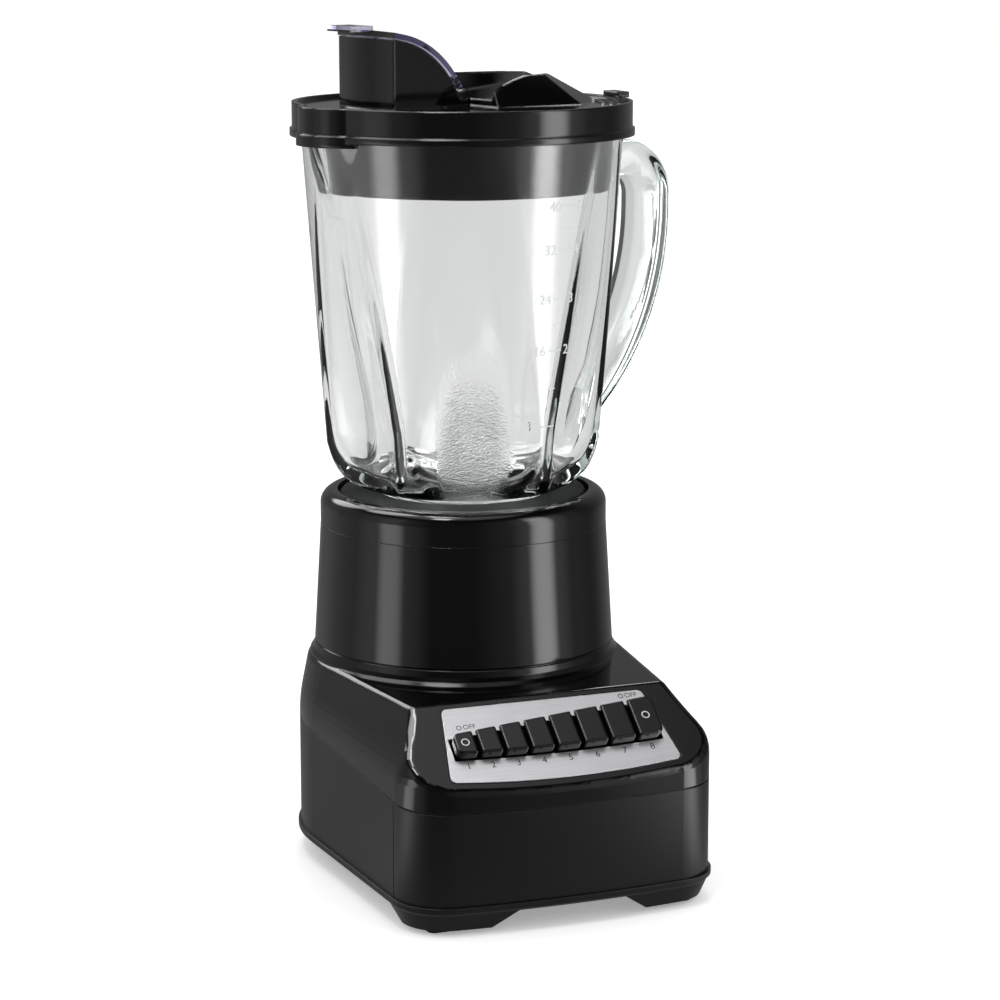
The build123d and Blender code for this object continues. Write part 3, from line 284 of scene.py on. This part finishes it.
jar = {
    "turn": 15.0, "wall": 4.2, "foot": (60.8, 185.0), "rim": (70.9, 326.0), "stepsRound": 288, "stepsUp": 120,
    "outer": ((38.0, 152.5), (38.0, 160.0), (38.3, 163.5), (40.5, 165.2), (46.0, 165.6), (51.8, 167.8), (56.0, 172.5),
              (58.8, 178.0), (60.8, 185.0)),
    "inner": ((32.0, 151.0), (32.0, 167.5), (34.5, 170.0), (43.0, 171.2), (49.5, 174.5), (53.8, 180.0), (56.2, 186.0),
              (57.0, 191.0)),
    "flutes": (60, 120, 180, 240, 300), "fluteApex": 297.0, "fluteSlope": 0.217, "fluteToe": (200.0, 166.0, 8.0),
    "fluteRadius": 40.0, "fluteFrom": 163.5, "halfAngle": 0.6, "soft": 7.0, "rounds": 2, "cutShare": 0.25,
    "cavityOver": 1.0, "sharpAngle": 50.0,
    "lipLow": (48.0, 14.0, 288.0), "lipHigh": (56.5, 20.2, 326.0),
    "handlePath": ((62.0, 305.0), (103.5, 308.5), (102.6, 237.0), (50.0, 178.0)), "handleBends": (18.0, 120.0),
    "handleWidth": 23.0, "handleDepth": 16.0, "handleRound": 6.0, "bendSteps": 20, "cornerSteps": 6,
}
jarLean = (jar["rim"][0] - jar["foot"][0]) / (jar["rim"][1] - jar["foot"][1])


def jarRadius(height):
    return jar["foot"][0] + (height - jar["foot"][1]) * jarLean


def softened(points):
    # Cuts the corners of a line, so that it runs in curves
    far = jar["cutShare"]
    near = 1 - far
    for step in range(jar["rounds"]):
        cut = [points[0]]
        for start, end in zip(points, points[1:]):
            cut.append(tuple(a * near + b * far for a, b in zip(start, end)))
            cut.append(tuple(a * far + b * near for a, b in zip(start, end)))
        points = cut + [points[-1]]
    return points


def joined(first, second, side):
    # The smaller (side -1) or larger (side 1) of two radii, with a soft change between them
    soft = jar["soft"]
    share = max(soft - abs(first - second), 0) / soft
    chosen = min(first, second) if side < 0 else max(first, second)
    return chosen + side * share * share * soft / 4


def jarReach(radius, height, angle, inset):
    # Distance of the glass from the axis: round wall, less the flutes that run out at the foot, plus the pouring lip
    lean = math.atan(jar["fluteSlope"])
    across = jar["fluteRadius"] + inset
    along = across / math.cos(lean)
    centre = jarRadius(jar["fluteApex"]) + jar["fluteRadius"] / math.cos(lean)
    centre -= jar["fluteSlope"] * (jar["fluteApex"] - height)
    toeStart, toeEnd, toeRise = jar["fluteToe"]
    centre += toeRise * max((toeStart - height) / (toeStart - toeEnd), 0) ** 2
    for flute in jar["flutes"]:
        away = math.remainder(angle - math.radians(flute), math.tau)
        if abs(away) < jar["halfAngle"]:
            square = (math.cos(away) / along) ** 2 + (math.sin(away) / across) ** 2
            half = centre * math.cos(away) / along ** 2
            left = half ** 2 - square * ((centre / along) ** 2 - 1)
            if left > 0:
                radius = joined(radius, (half - math.sqrt(left)) / square, -1)
    lowCentre, lowRadius, lowHeight = jar["lipLow"]
    highCentre, highRadius, highHeight = jar["lipHigh"]
    share = (height - lowHeight) / (highHeight - lowHeight)
    away = math.remainder(angle - math.pi, math.tau)
    if share > 0 and abs(away) < jar["halfAngle"]:
        lipCentre = lowCentre + (highCentre - lowCentre) * share
        lipRadius = lowRadius + (highRadius - lowRadius) * share - inset
        left = lipRadius ** 2 - (lipCentre * math.sin(away)) ** 2
        if left > 0:
            radius = joined(radius, lipCentre * math.cos(away) + math.sqrt(left), 1)
    return radius


def tube(name, rings):
    # A closed solid through rings of points, with flat ends
    count = len(rings[0])
    points = [point for ring in rings for point in ring]
    faces = [tuple(reversed(range(count))), tuple(range(len(points) - count, len(points)))]
    for row in range(len(rings) - 1):
        for i in range(count):
            j = (i + 1) % count
            faces.append((row * count + i, row * count + j, (row + 1) * count + j, (row + 1) * count + i))
    mesh = bpy.data.meshes.new(name)
    mesh.from_pydata([tuple(value * mm for value in point) for point in points], [], faces)
    mesh.update()
    solid = bpy.data.objects.new(name, mesh)
    bpy.context.scene.collection.objects.link(solid)
    return solid


def bowl(name, lowLine, top, inset):
    startRadius, startHeight = lowLine[-1]
    line = softened(lowLine)
    for step in range(1, jar["stepsUp"] + 1):
        height = startHeight + (top - startHeight) * step / jar["stepsUp"]
        line.append((jarRadius(height) - inset, height))
    rings = []
    for radius, height in line:
        ring = []
        for step in range(jar["stepsRound"]):
            angle = math.tau * step / jar["stepsRound"]
            reach = jarReach(radius, height, angle, inset) if height > jar["fluteFrom"] else radius
            ring.append((reach * math.cos(angle), reach * math.sin(angle), height))
        rings.append(ring)
    return tube(name, rings)


def bentPath(points, bends):
    # Straight runs joined by arcs, as (x, z, heading) stations
    stations = []
    runs = [math.atan2(b[1] - a[1], b[0] - a[0]) for a, b in zip(points, points[1:])]
    stations.append((points[0][0], points[0][1], runs[0]))
    for corner, bend, before, after in zip(points[1:-1], bends, runs, runs[1:]):
        change = math.remainder(after - before, math.tau)
        cut = bend * math.tan(abs(change) / 2)
        side = 1 if change > 0 else -1
        startX = corner[0] - cut * math.cos(before)
        startZ = corner[1] - cut * math.sin(before)
        middleX = startX - side * bend * math.sin(before)
        middleZ = startZ + side * bend * math.cos(before)
        for step in range(jar["bendSteps"] + 1):
            heading = before + change * step / jar["bendSteps"]
            x = middleX + side * bend * math.sin(heading)
            z = middleZ - side * bend * math.cos(heading)
            stations.append((x, z, heading))
    stations.append((points[-1][0], points[-1][1], runs[-1]))
    return stations


def handleRings():
    section = []
    flatX = jar["handleWidth"] / 2 - jar["handleRound"]
    flatZ = jar["handleDepth"] / 2 - jar["handleRound"]
    for quarter, (signX, signZ) in enumerate(((1, 1), (-1, 1), (-1, -1), (1, -1))):
        for step in range(jar["cornerSteps"] + 1):
            angle = math.radians(quarter * 90 + step * 90 / jar["cornerSteps"])
            section.append((signX * flatX + jar["handleRound"] * math.cos(angle),
                            signZ * flatZ + jar["handleRound"] * math.sin(angle)))
    rings = []
    for x, z, heading in bentPath(jar["handlePath"], jar["handleBends"]):
        rings.append([(x - up * math.sin(heading), across, z + up * math.cos(heading)) for across, up in section])
    return rings


outerGlass = bowl("outerGlass", jar["outer"], jar["rim"][1], 0.0)
jarCavity = bowl("jarCavity", jar["inner"], jar["rim"][1] + jar["cavityOver"], jar["wall"])
jarHandle = tube("jarHandle", handleRings())
for solid in (outerGlass, jarCavity, jarHandle):
    shape = bmesh.new()
    shape.from_mesh(solid.data)
    bmesh.ops.recalc_face_normals(shape, faces=shape.faces)
    shape.to_mesh(solid.data)
    shape.free()
for tool, work in ((jarHandle, "UNION"), (jarCavity, "DIFFERENCE")):
    cut = outerGlass.modifiers.new(work.lower(), "BOOLEAN")
    cut.object = tool
    cut.operation = work
    cut.solver = "EXACT"
settled = bpy.context.evaluated_depsgraph_get()
jarMesh = bpy.data.meshes.new_from_object(outerGlass.evaluated_get(settled))
jarMesh.name = "glassJarForm"
for solid in (outerGlass, jarCavity, jarHandle):
    bpy.data.objects.remove(solid)
jarMesh.transform(Matrix.Translation(place(0, 0, 0)) @ Matrix.Rotation(math.radians(jar["turn"]), 4, "Z"))
for face in jarMesh.polygons:
    face.use_smooth = True
jarMesh.set_sharp_from_angle(angle=math.radians(jar["sharpAngle"]))
jarMesh.materials.clear()
jarMesh.materials.append(jarGlass)
glassJar = bpy.data.objects.new("glassJarForm", jarMesh)
bpy.context.scene.collection.objects.link(glassJar)
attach(glassJar, "jar")
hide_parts("glass_jar")
print("jar made,", len(jarMesh.vertices), "points")

# Marks: plain numbers, ticks, rings and OFF, each a thin raised layer on the face that carries it

# Height of a figure as a share of the font's size, and the bars that make up a ring
marks = {"figureShare": 0.7, "ringBars": 32, "ringOverlap": 1.05}


def addText(shape, words, height, matrix, thickness):
    letters = bpy.data.curves.new("letters", "FONT")
    letters.body = words
    letters.size = height * mm / marks["figureShare"]
    letters.align_x = "CENTER"
    letters.align_y = "CENTER"
    letters.extrude = thickness * mm / 2
    holder = bpy.data.objects.new("letters", letters)
    bpy.context.scene.collection.objects.link(holder)
    outline = bpy.data.meshes.new_from_object(holder.evaluated_get(bpy.context.evaluated_depsgraph_get()))
    outline.transform(matrix)
    shape.from_mesh(outline)
    bpy.data.objects.remove(holder)
    bpy.data.meshes.remove(outline)


def addBar(shape, width, height, matrix, thickness):
    size = Matrix.Diagonal((width * mm, height * mm, thickness * mm, 1))
    bmesh.ops.create_cube(shape, size=1.0, matrix=matrix @ size)


def addRing(shape, radius, width, matrix, thickness):
    length = math.tau * radius / marks["ringBars"] * marks["ringOverlap"]
    for step in range(marks["ringBars"]):
        angle = math.tau * (step + 0.5) / marks["ringBars"]
        spot = Matrix.Translation((radius * mm * math.cos(angle), radius * mm * math.sin(angle), 0))
        addBar(shape, width, length, matrix @ spot @ Matrix.Rotation(angle, 4, "Z"), thickness)


def finishMarks(name, shape, material, body):
    mesh = bpy.data.meshes.new(name)
    shape.to_mesh(mesh)
    shape.free()
    mesh.materials.clear()
    mesh.materials.append(material)
    layer = bpy.data.objects.new(name, mesh)
    bpy.context.scene.collection.objects.link(layer)
    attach(layer, body)


# Frosted relief on the glass, a little paler than what lies behind it
frostedGlass = surfaced("frostedGlassRelief", {
    "dark": "#dfe3e3", "light": "#eef0f0", "rough": (0.45, 0.55), "broad": (4, 4, 4), "fine": (0.4, 0.4, 0.4),
    "relief": 0.01})
# Dark print on the silver plate
blackPrint = surfaced("screenPrintedBlackInk", {
    "dark": "#161617", "light": "#1d1d1f", "rough": (0.55, 0.65), "broad": (4, 4, 4), "fine": (0.3, 0.3, 0.3),
    "relief": 0.003})
# White print on the keycaps
whitePrint = surfaced("padPrintedWhiteInk", {
    "dark": "#d6d6d6", "light": "#e4e4e4", "rough": (0.50, 0.60), "broad": (4, 4, 4), "fine": (0.3, 0.3, 0.3),
    "relief": 0.003})

scale = {"azimuth": -75.0, "lean": 6.0, "heights": (199.5, 232.5, 254.7, 275.8, 294.3), "digit": 4.2,
         "tick": 7.0, "shortTick": 4.2, "line": 0.5, "left": -7.8, "right": 6.2, "raised": 0.25, "unit": 8}
scaleShape = bmesh.new()


def onGlass(across, height):
    # A frame on the glass at that height: x to the right, y up the wall, z outwards
    climb = (height - scale["heights"][0]) / (scale["heights"][-1] - scale["heights"][0])
    angle = math.radians(scale["azimuth"] + scale["lean"] * climb) + across / jarRadius(height)
    reach = jarReach(jarRadius(height), height, angle - math.radians(jar["turn"]), 0.0)
    outwards = Vector((math.cos(angle), math.sin(angle), -jarLean)).normalized()
    rightwards = Vector((-math.sin(angle), math.cos(angle), 0))
    upwards = outwards.cross(rightwards)
    spot = place(reach * math.cos(angle), reach * math.sin(angle), height)
    turned = Matrix((rightwards, upwards, outwards)).transposed().to_4x4()
    return Matrix.Translation(spot) @ turned


for index, height in enumerate(scale["heights"]):
    addBar(scaleShape, scale["tick"], scale["line"], onGlass(0, height), scale["raised"])
    units = str(scale["unit"] * (index + 1))
    addText(scaleShape, units, scale["digit"], onGlass(scale["left"], height), scale["raised"])
    addText(scaleShape, str(index + 1), scale["digit"], onGlass(scale["right"], height), scale["raised"])
for low, high in zip(scale["heights"], scale["heights"][1:]):
    addBar(scaleShape, scale["shortTick"], scale["line"], onGlass(0, (low + high) / 2), scale["raised"])
finishMarks("jarScale", scaleShape, frostedGlass, "jar")

panel = {"top": (0.0, -92.0, 90.5), "slope": 37.5, "face": 0.2, "keyFace": 5.0, "count": 8, "firstWidth": 9.0,
         "growth": 0.36, "gap": 1.6, "highMiddle": 14.7, "highRise": 0.104, "lowMiddle": 31.0, "lowCentre": -2.0,
         "lowBow": 0.0006, "print": 0.06, "digit": 3.0, "offLetter": 2.3, "below": 3.6,
         "above": 5.0, "offShift": {0: 4.6, 7: -2.2}, "offWord": 1.5, "offRing": -3.2, "ring": (1.0, 0.35),
         "keyRing": (1.6, 0.5)}
tilt = math.radians(panel["slope"])
panelAxes = ((1, 0, 0), (0, math.cos(tilt), math.sin(tilt)), (0, -math.sin(tilt), math.cos(tilt)))
panelFrame = Matrix.Translation(place(*panel["top"])) @ Matrix(panelAxes).transposed().to_4x4()


def onPanel(x, y, z):
    # A frame on the slope: x to the right, y up the slope, z outwards
    return panelFrame @ Matrix.Translation((x * mm, y * mm, z * mm))


keyWidths = [panel["firstWidth"] + panel["growth"] * index for index in range(panel["count"])]
keyEdge = -(sum(keyWidths) + panel["gap"] * (panel["count"] - 1)) / 2
keyMiddles = []
for width in keyWidths:
    keyMiddles.append(keyEdge + width / 2)
    keyEdge += width + panel["gap"]
panelShape = bmesh.new()
for index, x in enumerate(keyMiddles):
    rowLow = panel["lowMiddle"] - panel["lowBow"] * (x - panel["lowCentre"]) ** 2
    rowHigh = panel["highMiddle"] - panel["highRise"] * x
    under = onPanel(x, -rowLow - panel["below"], panel["face"])
    addText(panelShape, str(index + 1), panel["digit"], under, panel["print"])
    if index in panel["offShift"]:
        offX = x + panel["offShift"][index]
        offY = panel["above"] - panel["highMiddle"] + panel["highRise"] * offX
        wordFrame = onPanel(offX + panel["offWord"], offY, panel["face"])
        addText(panelShape, "OFF", panel["offLetter"], wordFrame, panel["print"])
        addRing(panelShape, *panel["ring"], onPanel(offX + panel["offRing"], offY, panel["face"]), panel["print"])
        keyShape = bmesh.new()
        middle = onPanel(x, -(rowHigh + rowLow) / 2, panel["keyFace"])
        addRing(keyShape, *panel["keyRing"], middle, panel["print"])
        finishMarks("keyMark_" + str(index + 1), keyShape, whitePrint, "button_" + str(index + 1))
finishMarks("panelMarks", panelShape, blackPrint, "base")
print("marks made")

# Floor, background and lamps

studio = {
    # Direction, where its light starts and is full (cosines), brightness, share of it left above the horizon
    "sides": (((-0.985, -0.174, 0.0), 0.976, 1.0, 1.9, 0.15), ((-0.985, -0.174, 0.0), 0.82, 0.985, 0.35, 0.6),
              ((-0.906, 0.423, 0.0), 0.574, 0.966, 0.25, 1.0), ((0.688, -0.725, 0.0), 0.972, 1.0, 4.2, 1.0),
              ((0.688, -0.725, 0.0), 0.866, 0.996, 0.5, 1.0), ((0.688, -0.725, 0.0), 0.50, 0.966, 0.2, 1.0),
              ((0.358, 0.934, 0.0), 0.34, 0.866, 0.12, 1.0)),
    # Heights of a ray where the horizon lies and the sides end, and the level of the floor close to the object
    "horizon": (-0.14, -0.07), "sideEnd": (0.45, 0.80), "least": 0.06, "near": (-0.95, -0.74, 0.3),
    # Overhead: a broad pale ceiling and three small bright lamps towards the left and the back
    "tops": (((-0.10, 0.0, 0.995), 0.82, 0.96, 1.3), ((-0.12, 0.05, 0.991), 0.984, 0.995, 16.0),
             ((-0.315, 0.385, 0.867), 0.955, 0.985, 6.0), ((-0.20, 0.80, 0.566), 0.955, 0.985, 4.0)),
    # The pale backdrop that shows through the glass
    "forward": (0.362, 0.932, 0.0), "backdropLeast": 0.04, "backdrop": ((-0.80, 0.05, 0.42), (0.92, 0.995, 0.14)),
    "plain": 0.95, "floorSeen": 0.30, "floorColour": 0.95, "floorHidden": 0.02, "eyeHeight": 0.3,
    "floorHalf": 6.0, "floorDrop": 0.0002,
}


def rayLevels(tree, direction):
    # Brightness of the studio as polished faces see it, and as it shows through the glass, by direction
    level = addNode(tree, "ShaderNodeVectorMath", {"operation": "MULTIPLY"}, {0: direction, 1: (1.0, 1.0, 0.0)})
    level = addNode(tree, "ShaderNodeVectorMath", {"operation": "NORMALIZE"}, {0: level.outputs["Vector"]})
    level = level.outputs["Vector"]
    height = addNode(tree, "ShaderNodeSeparateXYZ", None, {0: direction}).outputs["Z"]

    def ramp(value, low, high, start, end):
        return addNode(tree, "ShaderNodeMapRange", {"interpolation_type": "SMOOTHSTEP"}, {
            "Value": value, "From Min": low, "From Max": high, "To Min": start, "To Max": end}).outputs["Result"]

    def withLight(total, way, towards, low, high, strength):
        along = addNode(tree, "ShaderNodeVectorMath", {"operation": "DOT_PRODUCT"}, {0: way, 1: towards})
        light = ramp(along.outputs["Value"], low, high, 0.0, strength)
        return addNode(tree, "ShaderNodeMath", {"operation": "ADD"}, {0: total, 1: light}).outputs[0]

    glossy = studio["least"]
    for towards, low, high, strength, share in studio["sides"]:
        left = ramp(height, *studio["horizon"], strength, strength * share)
        glossy = withLight(glossy, level, towards, low, high, left)
    sideEnd = ramp(height, *studio["sideEnd"], 1.0, 0.0)
    glossy = addNode(tree, "ShaderNodeMath", {"operation": "MULTIPLY"}, {0: glossy, 1: sideEnd}).outputs[0]
    closeBy, away, closeLevel = studio["near"]
    glossy = addNode(tree, "ShaderNodeMix", {"data_type": "FLOAT"}, {
        0: ramp(height, closeBy, away, 0.0, 1.0), 2: closeLevel, 3: glossy}).outputs[0]
    for light in studio["tops"]:
        glossy = withLight(glossy, direction, *light)
    through = addNode(tree, "ShaderNodeMath", {"operation": "ADD"}, {
        0: glossy, 1: studio["backdropLeast"]}).outputs[0]
    for light in studio["backdrop"]:
        through = withLight(through, level, studio["forward"], *light)
    return glossy, through


def byRay(tree, plain, glossy, through, seen):
    # Chooses a value by the kind of ray that arrives
    rays = addNode(tree, "ShaderNodeLightPath")
    value = plain
    for kind, choice in (("Is Glossy Ray", glossy), ("Is Transmission Ray", through), ("Is Camera Ray", seen)):
        value = addNode(tree, "ShaderNodeMix", {"data_type": "FLOAT"}, {
            0: rays.outputs[kind], 2: value, 3: choice}).outputs[0]
    return value


floorMesh = bpy.data.meshes.new("studioFloor")
half = studio["floorHalf"]
floorMesh.from_pydata([(-half, -half, 0), (half, -half, 0), (half, half, 0), (-half, half, 0)], [], [(0, 1, 2, 3)])
studioFloor = bpy.data.objects.new("studioFloor", floorMesh)
bpy.context.scene.collection.objects.link(studioFloor)
studioFloor.location.z = -studio["floorDrop"]
floorMaterial, floorTree, floorShader = newMaterial("paleStudioFloor")
floorColour = byRay(floorTree, studio["floorColour"], studio["floorHidden"], studio["floorHidden"],
                    studio["floorColour"])
floorTree.links.new(floorColour, floorShader.inputs["Base Color"])
floorShader.inputs["Roughness"].default_value = 0.9
floorShader.inputs["Specular IOR Level"].default_value = 0.0
floorShader.inputs["Emission Color"].default_value = (1, 1, 1, 1)
floorPlace = addNode(floorTree, "ShaderNodeTexCoord")
floorWay = addNode(floorTree, "ShaderNodeVectorMath", {"operation": "SUBTRACT"}, {
    0: floorPlace.outputs["Object"], 1: (0.0, 0.0, studio["eyeHeight"])})
floorWay = addNode(floorTree, "ShaderNodeVectorMath", {"operation": "NORMALIZE"}, {0: floorWay.outputs["Vector"]})
floorGlossy, floorThrough = rayLevels(floorTree, floorWay.outputs["Vector"])
floorGlow = byRay(floorTree, 0.0, floorGlossy, floorThrough, studio["floorSeen"])
floorTree.links.new(floorGlow, floorShader.inputs["Emission Strength"])
floorMesh.materials.append(floorMaterial)

world = bpy.data.worlds.new("studioWorld")
bpy.context.scene.world = world
world.use_nodes = True
skyTree = world.node_tree
background = skyTree.nodes["Background"]
skyPlace = addNode(skyTree, "ShaderNodeTexCoord")
skyGlossy, skyThrough = rayLevels(skyTree, skyPlace.outputs["Generated"])
skyTree.links.new(byRay(skyTree, studio["plain"], skyGlossy, skyThrough, 1.0), background.inputs["Strength"])
background.inputs["Color"].default_value = (1, 1, 1, 1)


def softbox(name, where, aim, size, watts):
    lampData = bpy.data.lights.new(name, "AREA")
    lampData.shape = "RECTANGLE"
    lampData.size, lampData.size_y = size
    lampData.energy = watts
    lamp = bpy.data.objects.new(name, lampData)
    bpy.context.scene.collection.objects.link(lamp)
    lamp.location = place(*where)
    lamp.rotation_euler = (place(*aim) - lamp.location).to_track_quat("-Z", "Y").to_euler()


softbox("keySoftbox", (-560, -520, 1650), (0, 0, 180), (0.3, 0.3), 4)
softbox("backSoftbox", (500, 1200, 1300), (0, 0, 250), (0.6, 0.6), 5)
print("lamps and floor placed")
